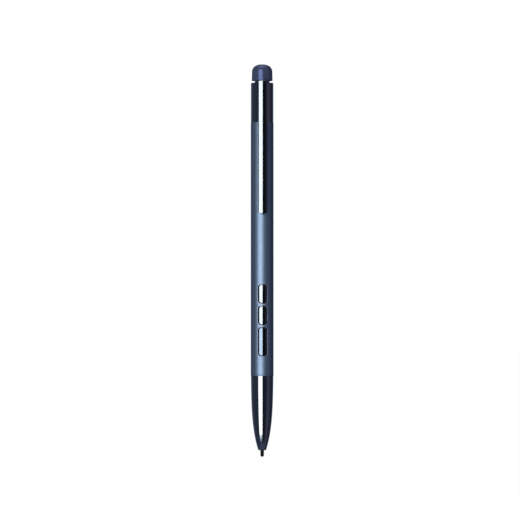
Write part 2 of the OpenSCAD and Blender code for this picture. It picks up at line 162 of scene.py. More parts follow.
def add_loft(bm, rings):
    """Joins rings of equally many points with quads, and closes both ends."""
    made = [[bm.verts.new(p) for p in ring] for ring in rings]
    count = len(made[0])
    for a, b in zip(made, made[1:]):
        for k in range(count):
            n = (k + 1) % count
            bm.faces.new((a[k], a[n], b[n], b[k]))
    bm.faces.new(made[0][::-1])
    bm.faces.new(made[-1])


def rounded_outline(width, height, corner, z, inset):
    """Points (x, z) round a rounded rectangle about height z, with the same count for any inset."""
    corner_steps, side_steps = 12, (8, 20)
    half_w, half_h = width / 2 - inset, height / 2 - inset
    r = min(max(corner - inset, 0.02 * MM), half_w)
    points = []
    for quarter in range(4):
        cx = (half_w - r) * (1 if quarter in (0, 3) else -1)
        cz = (half_h - r) * (1 if quarter in (0, 1) else -1)
        for k in range(corner_steps + 1):
            a = math.radians(90 * (quarter + k / corner_steps))
            points.append((cx + r * math.cos(a), z + cz + r * math.sin(a)))
        end = points[-1]
        following = math.radians(90 * (quarter + 1))
        ncx = (half_w - r) * (1 if (quarter + 1) % 4 in (0, 3) else -1)
        ncz = (half_h - r) * (1 if (quarter + 1) % 4 in (0, 1) else -1)
        start = (ncx + r * math.cos(following), z + ncz + r * math.sin(following))
        steps = side_steps[quarter % 2]
        for k in range(1, steps):
            t = k / steps
            points.append((end[0] + (start[0] - end[0]) * t, end[1] + (start[1] - end[1]) * t))
    return points


def on_cylinder(x, z, radius, depth):
    """A point on the front of a cylinder round the pen's axis, moved inwards by depth along Y."""
    return (x, -math.sqrt(max(radius * radius - x * x, 0)) + depth, z)


def inside_rounded(x, z, width, height, corner, centre_z, margin):
    """Whether (x, z) lies in a rounded rectangle that is grown by margin."""
    dx = abs(x) - (width / 2 - corner)
    dz = abs(z - centre_z) - (height / 2 - corner)
    if dx <= 0 or dz <= 0:
        return dx <= corner + margin and dz <= corner + margin
    return math.hypot(dx, dz) <= corner + margin


# ---------------------------------------------------------------- materials

class Shader:
    """A Principled material with small helpers for its procedural detail."""

    def __init__(self, name, **values):
        self.material = bpy.data.materials.new(name)
        self.material.use_nodes = True
        self.nodes = self.material.node_tree.nodes
        self.links = self.material.node_tree.links
        self.bsdf = self.nodes["Principled BSDF"]
        self.coords = self.nodes.new("ShaderNodeTexCoord")
        for socket, value in values.items():
            self.bsdf.inputs[socket.replace("_", " ")].default_value = value

    def stretched(self, scale):
        mapping = self.nodes.new("ShaderNodeMapping")
        mapping.inputs["Scale"].default_value = scale
        self.links.new(self.coords.outputs["Object"], mapping.inputs["Vector"])
        return mapping.outputs["Vector"]

    def noise(self, scale, detail, roughness=0.55, stretch=(1, 1, 1)):
        node = self.nodes.new("ShaderNodeTexNoise")
        node.inputs["Scale"].default_value = scale
        node.inputs["Detail"].default_value = detail
        node.inputs["Roughness"].default_value = roughness
        self.links.new(self.stretched(stretch), node.inputs["Vector"])
        return node.outputs["Fac"]

    def ramp(self, source, stops):
        node = self.nodes.new("ShaderNodeValToRGB")
        node.color_ramp.elements[0].position, node.color_ramp.elements[0].color = stops[0]
        node.color_ramp.elements[1].position, node.color_ramp.elements[1].color = stops[-1]
        for position, colour in stops[1:-1]:
            node.color_ramp.elements.new(position).color = colour
        self.links.new(source, node.inputs["Fac"])
        return node.outputs["Color"]

    def mapped(self, source, *limits):
        """Maps source from between the first two limits onto between the last two."""
        node = self.nodes.new("ShaderNodeMapRange")
        for socket, value in zip(("From Min", "From Max", "To Min", "To Max"), limits):
            node.inputs[socket].default_value = value
        self.links.new(source, node.inputs["Value"])
        return node.outputs["Result"]

    def combined(self, operation, first, second):
        """The sum or product of two varying values."""
        node = self.nodes.new("ShaderNodeMath")
        node.operation = operation
        self.links.new(first, node.inputs[0])
        self.links.new(second, node.inputs[1])
        return node.outputs[0]

    def spread(self, source, low, high):
        """Maps a 0.3 to 0.7 noise onto low to high."""
        return self.mapped(source, 0.3, 0.7, low, high)

    def colour(self, source, dark, light):
        self.links.new(
            self.ramp(source, [(0.3, (*dark, 1)), (0.7, (*light, 1))]), self.bsdf.inputs["Base Color"]
        )

    def rough(self, source, low, high):
        self.links.new(self.spread(source, low, high), self.bsdf.inputs["Roughness"])

    def duller_at_a_glance(self, start, full, extra):
        """Adds roughness where the surface turns away, from facing start to full. It comes after rough()."""
        weight = self.nodes.new("ShaderNodeLayerWeight")
        weight.inputs["Blend"].default_value = 0.5
        more = self.mapped(weight.outputs["Facing"], start, full, 0.0, extra)
        roughness = self.bsdf.inputs["Roughness"]
        self.links.new(self.combined("ADD", roughness.links[0].from_socket, more), roughness)

    def bump(self, source, strength, depth):
        node = self.nodes.new("ShaderNodeBump")
        node.inputs["Strength"].default_value = strength
        node.inputs["Distance"].default_value = depth
        self.links.new(source, node.inputs["Height"])
        self.links.new(node.outputs["Normal"], self.bsdf.inputs["Normal"])

    def edge_wear_and_highlight(self, width, tint):
        """Lightens the colour within width of each sharp edge, unevenly: partly wear, partly a painted
        highlight along the edge. It comes after colour().
        """
        rounded = self.nodes.new("ShaderNodeBevel")
        rounded.samples = 6
        rounded.inputs["Radius"].default_value = width
        surface = self.nodes.new("ShaderNodeNewGeometry")
        dot = self.nodes.new("ShaderNodeVectorMath")
        dot.operation = "DOT_PRODUCT"
        self.links.new(rounded.outputs["Normal"], dot.inputs[0])
        self.links.new(surface.outputs["Normal"], dot.inputs[1])
        near_edge = self.mapped(dot.outputs["Value"], 0.995, 0.95, 0.0, 1.0)
        patches = self.spread(self.noise(900, 2), 0.6, 1.0)
        mix = self.nodes.new("ShaderNodeMix")
        mix.data_type = "RGBA"
        self.links.new(self.combined("MULTIPLY", near_edge, patches), mix.inputs["Factor"])
        base = self.bsdf.inputs["Base Color"]
        self.links.new(base.links[0].from_socket, mix.inputs["A"])
        # tint is the lighter edge colour: wear, and a painted highlight along the edge
        mix.inputs["B"].default_value = (*tint, 1)
        self.links.new(mix.outputs["Result"], base)


def anodised_blue():
    """Bead-blasted aluminium, dyed and sealed: a broad satin highlight with a very fine grain."""
    s = Shader("anodised_blue", Metallic=0.8)
    s.colour(s.noise(900, 2), (0.068, 0.094, 0.137), (0.076, 0.105, 0.152))
    # The lighter rims round the windows and at the ends are a painted highlight as well as wear.
    s.edge_wear_and_highlight(0.3 * MM, (0.170, 0.185, 0.205))
    s.rough(s.noise(2200, 2), 0.41, 0.45)
    s.bump(s.noise(9000, 2, 0.7), 0.12, 0.006 * MM)
    return s.material


def gloss_navy():
    """Near-black navy lacquer, polished, with the faintest orange peel."""
    s = Shader("gloss_navy", IOR=1.8, Coat_Weight=1.0, Coat_Roughness=0.02, Coat_IOR=1.6)
    s.colour(s.noise(300, 3), (0.0016, 0.0022, 0.0048), (0.0024, 0.0032, 0.0066))
    s.edge_wear_and_highlight(0.12 * MM, (0.010, 0.012, 0.018))
    s.rough(s.noise(1500, 2), 0.05, 0.09)
    s.bump(s.noise(450, 1), 0.03, 0.004 * MM)
    return s.material


def dark_chrome(name, dark, light):
    """Black-nickel plating over a polished pressing."""
    s = Shader(name, Metallic=1.0)
    s.colour(s.noise(260, 3), dark, light)
    s.edge_wear_and_highlight(0.12 * MM, [1.5 * share for share in light])
    s.rough(s.noise(1800, 3, stretch=(1, 1, 0.1)), 0.05, 0.09)
    s.bump(s.noise(500, 1), 0.03, 0.003 * MM)
    return s.material


def satin_indigo():
    """Satin moulding of the top button, with a fine spark-eroded grain."""
    s = Shader("satin_indigo", IOR=1.5, Specular_Tint=(0.33, 0.42, 0.97, 1), Sheen_Weight=0.08,
               Sheen_Roughness=0.4, Sheen_Tint=(0.3, 0.28, 1.0, 1))
    s.colour(s.noise(600, 3), (0.0190, 0.0232, 0.040), (0.0235, 0.0285, 0.049))
    s.edge_wear_and_highlight(0.15 * MM, (0.034, 0.040, 0.064))
    s.rough(s.noise(3000, 2), 0.20, 0.25)
    s.duller_at_a_glance(0.55, 0.85, 0.6)
    s.bump(s.noise(7000, 2, 0.7), 0.15, 0.006 * MM)
    return s.material


def nib_black():
    """Carbon-filled acetal, with drawn streaks along the nib."""
    s = Shader("nib_black", IOR=1.12)
    s.colour(s.noise(2500, 3, stretch=(1, 1, 0.2)), (0.0010, 0.0012, 0.0016), (0.0026, 0.0028, 0.0034))
    s.rough(s.noise(4000, 2, stretch=(1, 1, 0.2)), 0.30, 0.42)
    s.bump(s.noise(6000, 2), 0.1, 0.004 * MM)
    return s.material


def moulded(name, dark, light, rough=(0.42, 0.55)):
    """A moulded plastic, rubber or ceramic piece: mottled colour, fine grain."""
    s = Shader(name, IOR=1.5)
    s.colour(s.noise(700, 4), dark, light)
    s.rough(s.noise(1800, 3), *rough)
    s.bump(s.noise(5000, 3), 0.15, 0.008 * MM)
    return s.material


def metal(name, dark, light, rough=(0.2, 0.34)):
    """A drawn, rolled or plated metal piece, with fine streaks across the pen's axis."""
    stretch = (1, 1, 8)
    s = Shader(name, Metallic=1.0)
    s.colour(s.noise(400, 4), dark, light)
    s.rough(s.noise(1500, 3, stretch=stretch), *rough)
    s.bump(s.noise(2500, 2, stretch=stretch), 0.08, 0.004 * MM)
    return s.material


def solder_mask():
    """Green board with darker traces under its mask."""
    s = Shader("solder_mask", IOR=1.5, Coat_Weight=0.4, Coat_Roughness=0.15)
    traces = s.nodes.new("ShaderNodeTexVoronoi")
    traces.distance = "CHEBYCHEV"
    traces.inputs["Scale"].default_value = 1600
    s.links.new(s.coords.outputs["Object"], traces.inputs["Vector"])
    s.links.new(
        s.ramp(traces.outputs["Distance"], [(0.3, (0.004, 0.06, 0.025, 1)), (0.5, (0.010, 0.11, 0.05, 1))]),
        s.bsdf.inputs["Base Color"],
    )
    s.rough(s.noise(900, 2), 0.3, 0.42)
    return s.material


MATERIALS = {
    "anodised_blue": anodised_blue(),
    "gloss_navy": gloss_navy(),
    "dark_chrome": dark_chrome("dark_chrome", (0.098, 0.106, 0.112), (0.108, 0.116, 0.124)),
    # blue_chrome is a darker, bluer copy of the same chrome; on the lower key it makes the highlight come out
    # dimmer.
    "blue_chrome": dark_chrome("blue_chrome", (0.062, 0.074, 0.094), (0.070, 0.083, 0.105)),
    "satin_indigo": satin_indigo(),
    "nib_black": nib_black(),
    "acetal_white": moulded("acetal_white", (0.62, 0.60, 0.54), (0.72, 0.70, 0.65)),
    "black_nylon": moulded("black_nylon", (0.008, 0.008, 0.009), (0.02, 0.02, 0.022)),
    "brass": metal("brass", (0.62, 0.42, 0.14), (0.74, 0.52, 0.2)),
    "spring_steel": metal("spring_steel", (0.42, 0.42, 0.43), (0.6, 0.6, 0.6)),
    "nickel_plate": metal("nickel_plate", (0.5, 0.48, 0.44), (0.62, 0.6, 0.56), (0.16, 0.26)),
    "silicone": moulded("silicone", (0.24, 0.25, 0.27), (0.32, 0.33, 0.35), (0.55, 0.7)),
    "nitrile_black": moulded("nitrile_black", (0.006, 0.006, 0.006), (0.014, 0.014, 0.014), (0.5, 0.65)),
    "polyimide": moulded("polyimide", (0.38, 0.12, 0.015), (0.5, 0.17, 0.02), (0.25, 0.35)),
    "solder_mask": solder_mask(),
    "chip_epoxy": moulded("chip_epoxy", (0.01, 0.01, 0.012), (0.022, 0.022, 0.024)),
    "ferrite": moulded("ferrite", (0.03, 0.03, 0.032), (0.06, 0.06, 0.064), (0.6, 0.75)),
    "ceramic": moulded("ceramic", (0.42, 0.32, 0.2), (0.58, 0.47, 0.32), (0.4, 0.5)),
    "cell_can": metal("cell_can", (0.5, 0.51, 0.53), (0.6, 0.61, 0.63), (0.18, 0.3)),
    "cell_sleeve": moulded("cell_sleeve", (0.015, 0.06, 0.085), (0.025, 0.085, 0.115), (0.18, 0.28)),
    "wire_red": moulded("wire_red", (0.3, 0.01, 0.008), (0.4, 0.016, 0.012)),
}


# ---------------------------------------------------------------- barrel

def window_outline(name, grow):
    """The outline of a side button's window, grown by grow."""
    z, length = BUTTONS[name]
    return rounded_outline(
        BUTTON_W + 2 * BUTTON_PLAY, length + 2 * BUTTON_PLAY, BUTTON_CORNER + BUTTON_PLAY, z, -grow
    )


def in_a_window(x, z, margin):
    """Whether (x, z) lies in one of the windows, grown by margin."""
    for centre, length in BUTTONS.values():
        if inside_rounded(x, z, BUTTON_W + 2 * BUTTON_PLAY, length + 2 * BUTTON_PLAY,
                          BUTTON_CORNER + BUTTON_PLAY, centre, margin):
            return True
    return False


def add_pierced_wall(bm, radius, z_low, z_high, grow):
    """One wall of the barrel, with the windows cut in it and grown by grow.

    A plain grid, apart from a patch of triangles round the windows. Returns the rims of the windows
    and of the two ends.
    """
    segments, patch = 160, 14
    row_step = 0.6 * MM
    surround = 1.2 * MM
    patch_low = min(z - length / 2 for z, length in BUTTONS.values()) - surround
    patch_high = max(z + length / 2 for z, length in BUTTONS.values()) + surround
    rows = round((patch_high - patch_low) / row_step)
    heights = [patch_low + (patch_high - patch_low) * k / rows for k in range(rows + 1)]
    below = [z_low + (patch_low - z_low) * k / 4 for k in range(4)]
    above = [patch_high + (z_high - patch_high) * k / 24 for k in range(1, 25)]
    levels = below + heights + above
    angles = [TURN * k / segments for k in range(-patch, segments - patch + 1)]

    def point(a, z):
        return (radius * math.sin(a), -radius * math.cos(a), z)

    columns = [[bm.verts.new(point(a, z)) for z in levels] for a in angles]
    first, last = len(below), len(below) + len(heights) - 1
    for i in range(len(angles) - 1):
        for j in range(len(levels) - 1):
            if i < 2 * patch and first <= j < last:
                continue
            bm.faces.new((columns[i][j], columns[i + 1][j], columns[i + 1][j + 1], columns[i][j + 1]))

    front = angles[:2 * patch + 1]
    frame_points = [(a, heights[0]) for a in front]
    frame_points += [(front[-1], z) for z in heights[1:]]
    frame_points += [(a, heights[-1]) for a in front[-2::-1]]
    frame_points += [(front[0], z) for z in heights[-2:0:-1]]
    flat = [Vector((radius * a, z)) for a, z in frame_points]
    edges = [(k, (k + 1) % len(flat)) for k in range(len(flat))]
    outline_starts = []
    for name in BUTTONS:
        outline = window_outline(name, grow)
        start = len(flat)
        outline_starts.append((start, len(outline)))
        flat += [Vector((radius * math.asin(x / radius), z)) for x, z in outline]
        edges += [(start + k, start + (k + 1) % len(outline)) for k in range(len(outline))]
    clear_of_rim = grow + 0.16 * MM
    for a in front[1:-1]:
        for z in heights[1:-1]:
            if not in_a_window(radius * math.sin(a), z, clear_of_rim):
                flat.append(Vector((radius * a, z)))
    points, _, faces, sources, _, _ = delaunay_2d_cdt(flat, edges, [], 1, 1e-9)
    made = [bm.verts.new(point(p.x / radius, p.y)) for p in points]
    for face in faces:
        centre = sum((points[k] for k in face), Vector((0, 0))) / len(face)
        if not in_a_window(radius * math.sin(centre.x / radius), centre.y, grow - 0.001 * MM):
            bm.faces.new([made[k] for k in face])
    found = {source: k for k, group in enumerate(sources) for source in group}
    rims = [[made[found[start + k]] for k in range(count)] for start, count in outline_starts]
    ends = [[column[0] for column in columns[:-1]], [column[-1] for column in columns[:-1]]]
    return rims, ends


def bridge(bm, a, b):
    """Quads between two rings of equally many vertices."""
    for k in range(len(a)):
        n = (k + 1) % len(a)
        bm.faces.new((a[k], a[n], b[n], b[k]))


def build_barrel():
    """The tube: its two walls, joined by rounded edges at the windows and at both ends."""
    bm = bmesh.new()
    edge = 0.12 * MM
    rim = 0.07 * MM
    outer, outer_ends = add_pierced_wall(bm, BARREL_R, BARREL_Z0 + edge, BARREL_Z1 - edge, rim)
    inner, inner_ends = add_pierced_wall(bm, BORE_R, BARREL_Z0, BARREL_Z1, 0.0)
    for name, top_ring, bottom_ring in zip(BUTTONS, outer, inner):
        previous = top_ring
        for step in (1, 2, 3):
            a = math.radians(30 * step)
            outline = window_outline(name, rim * (1 - math.sin(a)))
            depth = rim * (1 - math.cos(a))
            ring = [bm.verts.new(on_cylinder(x, z, BARREL_R, depth)) for x, z in outline]
            bridge(bm, previous, ring)
            previous = ring
        bridge(bm, previous, bottom_ring)
    for end, sign, z in ((0, 1, BARREL_Z0), (1, -1, BARREL_Z1)):
        previous = outer_ends[end]
        for step in (1, 2, 3):
            a = math.radians(30 * step)
            shrink = 1 - edge * (1 - math.cos(a)) / BARREL_R
            height = z + sign * edge * (1 - math.sin(a))
            ring = [bm.verts.new((v.co.x * shrink, v.co.y * shrink, height)) for v in outer_ends[end]]
            bridge(bm, previous, ring)
            previous = ring
        bridge(bm, previous, inner_ends[end])
    piece = finish_mesh("barrel_tube", bm, "pen_body", MATERIALS["anodised_blue"])
    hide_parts("barrel")


# ---------------------------------------------------------------- side buttons

def build_side_button(name):
    """A polished key that follows the barrel's curve, with softened edges, a lip and a stem."""
    z, length = BUTTONS[name]
    body = name + "_key"
    node = "side_button_" + name
    crown_r = LONG_CROWN_R if name == "lower" else SHORT_CROWN_R
    crown_y = -span(node, 1)[0] - crown_r
    lip_play, lip_thick, edge = 0.06 * MM, 0.42 * MM, 0.5 * MM
    lip_out_r = BORE_R - lip_play
    lip_in_r = lip_out_r - lip_thick

    def ring(inset, radius, depth=0.0, height=length):
        outline = rounded_outline(BUTTON_W, height, BUTTON_CORNER, z, inset)
        return [on_cylinder(x, h, radius, depth) for x, h in outline]

    def crown(inset, depth=0.0):
        return ring(inset, crown_r, depth - crown_y)

    deepest = BUTTON_W / 2 - 0.05 * MM
    insets = [edge + (deepest - edge) * (k / 9) for k in range(10)]
    rings = [ring(t, lip_in_r) for t in reversed(insets)]
    rings += [ring(-BUTTON_LIP, r, height=length - BUTTON_LIP) for r in (lip_in_r, lip_out_r)]
    rings += [ring(0, lip_out_r), crown(0, edge)]
    for step in range(1, 9):
        a = math.radians(90 * step / 8)
        rings.append(crown(edge * (1 - math.cos(a)), edge * (1 - math.sin(a))))
    rings += [crown(t) for t in insets[1:]]
    bm = bmesh.new()
    add_loft(bm, rings)
    stem_top, stem_end = lip_in_r + 0.1 * MM, -span(node, 1)[1]
    half_x, half_z, soft = 0.9 * MM, 1.0 * MM, 0.12 * MM
    stem = []
    for y, trim in ((stem_top, 0), (stem_end + soft, 0), (stem_end, soft)):
        stem.append([(sx * (half_x - trim), -y, z + sz * (half_z - trim))
                     for sx, sz in ((1, -1), (1, 1), (-1, 1), (-1, -1))])
    add_loft(bm, stem)
    # The lower key is drawn in the darker, bluer copy of the chrome, so that its highlight comes out dimmer.
    finish = MATERIALS["blue_chrome" if name == "lower" else "dark_chrome"]
    piece = finish_mesh("key_" + name, bm, body, finish)
    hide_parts(node)


# ---------------------------------------------------------------- nose cone and nib

def build_nose():
    """The tapered nose: a curve from the barrel to a softly rounded mouth, and the spigot inside."""
    length = BARREL_Z0 - 0.03 * MM - NOSE_Z0
    drop = COLLAR_R - NOSE_MOUTH_R
    soft = 0.34 * MM
    seam = 0.06 * MM
    gentle, steep = 1.4, 3.9
    tilt = math.atan(drop * (gentle + 3 * steep) / (4 * length))
    first, last = seam / length, 1 - soft * (1 - math.sin(tilt)) / length
    profile = [(COLLAR_R - seam, NOSE_Z0 + length)]
    for k in range(91):
        u = first + (last - first) * k / 90
        profile.append((COLLAR_R - drop * (u ** gentle + 3 * u ** steep) / 4, NOSE_Z0 + length * (1 - u)))
    round_r = profile[-1][0] - soft * math.cos(tilt)
    profile += arc(round_r, NOSE_Z0 + soft, soft, -math.degrees(tilt), -90, 8)[1:]
    bore, bore_soft, throat_z = NIB_R + 0.2 * MM, 0.08 * MM, NOSE_Z0 + 1.75 * MM
    profile += arc(bore + bore_soft, NOSE_Z0 + bore_soft, bore_soft, -90, -180, 3)
    inner_r, cone_z, spigot_r = 3.4 * MM, BARREL_Z0 - 16.8 * MM, BORE_R - 0.03 * MM
    profile += [(bore, throat_z), (inner_r, cone_z), (inner_r, NOSE_Z1)]
    profile += [(spigot_r, NOSE_Z1), (spigot_r, NOSE_Z0 + length)]
    piece = turned("nose_shell", profile, "pen_body", MATERIALS["gloss_navy"], 192)
    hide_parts("nose_cone")


def build_nib():
    """The nib: a round writing end, a small step, a long shank and the stem that its holder grips."""
    shank_r, stem_r = NIB_R - 0.17 * MM, 0.45 * MM
    step_z, stem_z = NOSE_Z0 - 0.1 * MM, NIB_Z1 - 6 * MM
    shank_soft, stem_soft = 0.08 * MM, 0.15 * MM
    profile = arc(0, NIB_R, NIB_R, -90, 0, 14)
    profile[0] = (0, NIB_Z0)
    profile += [(NIB_R, step_z - 0.05 * MM), (NIB_R - 0.02 * MM, step_z), (shank_r, step_z)]
    profile += [(shank_r, stem_z - shank_soft), (shank_r - shank_soft, stem_z), (stem_r, stem_z)]
    profile += [(stem_r, NIB_Z1 - stem_soft), (stem_r - stem_soft, NIB_Z1), (0, NIB_Z1)]
    piece = turned("nib_rod", profile, "writing_nib", MATERIALS["nib_black"], 64)
    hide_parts("nib")


# ---------------------------------------------------------------- cap

def build_collar():
    """The cap's glossy shell, with rounded edges and a lip over the core."""
    soft, low_soft = 0.12 * MM, 0.07 * MM
    inner_r, lip_r, lip_t = 4.15 * MM, 3.3 * MM, 0.6 * MM
    profile = [(inner_r, COLLAR_Z0)]
    profile += arc(COLLAR_R - low_soft, COLLAR_Z0 + low_soft, low_soft, -90, 0, 3)
    middle = (COLLAR_Z0 + COLLAR_Z1) / 2
    profile.append((COLLAR_R, middle))
    profile += arc(COLLAR_R - soft, COLLAR_Z1 - soft, soft, 0, 90, 5)
    profile += [(lip_r, COLLAR_Z1), (lip_r, COLLAR_Z1 - lip_t), (inner_r, COLLAR_Z1 - lip_t)]
    piece = turned("collar_shell", profile, "cap", MATERIALS["gloss_navy"], 192)
    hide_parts("collar")


def build_cap_core():
    """The plastic core: spigot with its seal groove, body, and the neck that carries clip and nut."""
    spigot_r, core_r, groove_r = BORE_R - 0.03 * MM, 4.12 * MM, 3.73 * MM
    seal_z = sum(span("cap_seal", 2)) / 2
    cavity_r, neck_bore_r, wire_hole_r = 3.6 * MM, 2.2 * MM, 1.0 * MM
    groove, soft, neck_soft = 0.3 * MM, 0.15 * MM, 0.1 * MM
    cavity_top = span("cap_contact", 2)[1] + 0.05 * MM
    body_z, shoulder_z = COLLAR_Z0 - 0.05 * MM, COLLAR_Z1 - 0.65 * MM
    pocket_z = span("top_board", 2)[0] - 0.5 * MM
    profile = [(cavity_r, CORE_Z0), (spigot_r - soft, CORE_Z0), (spigot_r, CORE_Z0 + soft)]
    profile += [(spigot_r, seal_z - groove), (groove_r, seal_z - groove), (groove_r, seal_z + groove)]
    profile += [(spigot_r, seal_z + groove), (spigot_r, body_z), (core_r, body_z)]
    profile += [(core_r, shoulder_z), (NECK_R, shoulder_z), (NECK_R, CORE_Z1 - neck_soft)]
    profile += [(NECK_R - neck_soft, CORE_Z1), (neck_bore_r, CORE_Z1), (neck_bore_r, pocket_z)]
    profile += [(wire_hole_r, pocket_z), (wire_hole_r, cavity_top), (cavity_r, cavity_top)]
    piece = turned("cap_insert", profile, "cap", MATERIALS["black_nylon"], 128)
    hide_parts("cap_core")


def build_seal():
    """The O-ring in the cap core's groove."""
    low, high = span("cap_seal", 2)
    wire_r = (high - low) / 2
    centre_r = radius_of("cap_seal") - wire_r
    profile = arc(centre_r, (low + high) / 2, wire_r, 0, 345, 23)
    piece = turned("seal_ring", profile, "cap", MATERIALS["nitrile_black"], 128, 60)
    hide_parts("cap_seal")


def build_nut():
    """The flanged nut on the cap's neck."""
    inner_r, body_r, flange_r = NECK_R + 0.02 * MM, 3.05 * MM, 3.4 * MM
    flange_z = NUT_Z1 - 0.7 * MM
    soft = 0.06 * MM
    profile = [(inner_r, NUT_Z0), (body_r - soft, NUT_Z0), (body_r, NUT_Z0 + soft), (body_r, flange_z)]
    profile += [(flange_r, flange_z), (flange_r, NUT_Z1 - soft), (flange_r - soft, NUT_Z1), (inner_r, NUT_Z1)]
    piece = turned("neck_nut", profile, "cap", MATERIALS["gloss_navy"], 128)
    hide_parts("clip_nut")


def build_top_button():
    """The push button: a softened foot, sides that taper a little, and a superellipse dome."""
    foot, taper, dome_h, power = 0.28 * MM, 0.07 * MM, 3.5 * MM, 2 / 2.4
    side_r, dome_z = TOP_R - taper, TOP_Z1 - dome_h
    hollow_z, hollow_r = TOP_Z1 - 2.9 * MM, 3.5 * MM
    lip_z, lip_r = TOP_Z0 + 0.5 * MM, 3.15 * MM
    profile = arc(TOP_R - foot, TOP_Z0 + foot, foot, -90, 0, 6)
    profile.append(((TOP_R + side_r) / 2, (TOP_Z0 + foot + dome_z) / 2))
    for k in range(40):
        a = math.pi / 2 * k / 40
        profile.append((side_r * math.cos(a) ** power, dome_z + dome_h * math.sin(a) ** power))
    profile += [(0, TOP_Z1), (0, hollow_z), (hollow_r, hollow_z), (hollow_r, lip_z)]
    profile += [(lip_r, lip_z), (lip_r, TOP_Z0)]
    piece = turned("top_push_button", profile, "top_key", MATERIALS["satin_indigo"], 160)
    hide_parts("top_button")


# ---------------------------------------------------------------- clip

def clip_section(outer, inner, half_w):
    """One closed cross-section of the clip: crowned front, rounded sides, flat back.

    outer and inner are (y, z) points of the front's crest and of the back at this station. Where the
    clip is thin, the crown is flatter, so that it takes no more than half of the thickness.
    """
    out = Vector((0, outer[0], outer[1]))
    along = Vector((0, inner[0], inner[1])) - out
    thick = along.length
    along.normalize()
    deepest_crown = thick / 2
    crown_r = max(CLIP_CROWN_R, (half_w ** 2 + deepest_crown ** 2) / (2 * deepest_crown))
    drop = crown_r - math.sqrt(crown_r ** 2 - half_w ** 2)
    side = min(0.3 * MM, half_w * 0.5, (thick - drop) * 0.5)
    back = min(0.14 * MM, side * 0.5)
    centre_x = half_w - side
    centre_d = crown_r - math.sqrt((crown_r - side) ** 2 - centre_x ** 2)
    tangent = math.asin(centre_x / (crown_r - side))
    points = []
    for k in range(-10, 11):
        a = tangent * k / 10
        points.append((crown_r * math.sin(a), crown_r * (1 - math.cos(a))))
    crown_count = len(points)
    for k in range(1, 7):
        a = tangent + (math.pi / 2 - tangent) * k / 6
        points.append((centre_x + side * math.sin(a), centre_d - side * math.cos(a)))
    for k in range(4):
        a = math.radians(30 * k)
        points.append((half_w - back * (1 - math.cos(a)), thick - back * (1 - math.sin(a))))
    points += [(-x, d) for x, d in reversed(points[crown_count:])]
    return [out + along * d + Vector((x, 0, 0)) for x, d in points]


def build_clip():
    """The pressed clip: a bridge out of the gap, a tight bend, a long arm and a pad at its free end."""
    thick, lean, corner = 0.95 * MM, 0.45 * MM, 1.25 * MM
    bend, inner_bend = 0.5 * MM, 0.3 * MM
    arm_y = CLIP_OUT_Y
    bend_z = CLIP_Z1 - bend
    turn_z = RING_Z0 - inner_bend
    arm_length = turn_z - CLIP_Z0
    end_soft = 0.3 * MM
    touch_y = -(BARREL_R + 0.06 * MM)

    def outer_at(z):
        return arm_y + lean * max(turn_z - z, 0) / arm_length

    def pad(z):
        """How far the back of the arm bulges towards the barrel at height z."""
        centre, reach = CLIP_Z0 + 4.0 * MM, 2.3 * MM
        t = abs(z - centre) / reach
        return 0 if t >= 1 else (touch_y - outer_at(centre) - thick) * (0.5 + 0.5 * math.cos(math.pi * t))

    stations = []
    for k in range(9):
        z = CLIP_Z0 + end_soft * (1 - math.cos(math.radians(90 * k / 8)))
        squeeze = 0.46 * thick * (1 - math.sin(math.radians(90 * k / 8)))
        stations.append((z, squeeze))
    close_rows = 7 * MM  # the length, from the free end, where stations stand closer for the pad's sake
    near_end = [CLIP_Z0 + end_soft + (close_rows - end_soft) * k / 36 for k in range(1, 37)]
    far_up = [CLIP_Z0 + close_rows + (arm_length - close_rows) * k / 30 for k in range(1, 31)]
    stations += [(z, 0.0) for z in near_end + far_up]
    rings = []
    for z, squeeze in stations:
        rise = z - CLIP_Z0
        if rise < corner:
            half_w = CLIP_W / 2 - corner + math.sqrt(max(corner ** 2 - (corner - rise) ** 2, 0))
        else:
            half_w = CLIP_W / 2
        half_w = max(half_w, CLIP_W / 2 - corner)
        y = outer_at(z)
        rings.append(clip_section((y + squeeze, z), (y + thick + pad(z) - squeeze, z), half_w))
    inner_y = arm_y + thick + inner_bend
    outer_path = [(arm_y, turn_z + (bend_z - turn_z) * k / 4) for k in range(1, 5)]
    outer_path += [(arm_y + bend - bend * math.cos(a), bend_z + bend * math.sin(a))
                   for a in (math.radians(90 * k / 10) for k in range(1, 11))]
    for k, outer in enumerate(outer_path, 1):
        a = math.radians(90 * k / len(outer_path))
        inner = (inner_y - inner_bend * math.cos(a), turn_z + inner_bend * math.sin(a))
        rings.append(clip_section(outer, inner, CLIP_W / 2))
    shoulder_y = -(TOP_R + 0.12 * MM)
    shoulder = ((-0.25 * MM, CLIP_Z1 - 0.03 * MM), (-0.08 * MM, CLIP_Z1 - 0.2 * MM),
                (0, RING_Z1 + 0.02 * MM), (0.1 * MM, RING_Z1))
    bridge_path = [(shoulder_y + forward, top) for forward, top in shoulder] + [(-2.9 * MM, RING_Z1)]
    rings += [clip_section((y, top), (y, RING_Z0), CLIP_W / 2) for y, top in bridge_path]
    bm = bmesh.new()
    add_loft(bm, rings)
    arm = finish_mesh("clip_leaf", bm, "clip_arm", MATERIALS["dark_chrome"], 50)
    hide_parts("clip")
    soft = 0.05 * MM
    inner_r, outer_r = NECK_R + 0.1 * MM, 3.1 * MM
    profile = [(inner_r, RING_Z0), (outer_r - soft, RING_Z0), (outer_r, RING_Z0 + soft)]
    profile += [(outer_r, RING_Z1 - soft), (outer_r - soft, RING_Z1), (inner_r, RING_Z1)]
    turned("clip_ring", profile, "clip_arm", MATERIALS["dark_chrome"], 128)


# ---------------------------------------------------------------- battery, seen when the cap is off

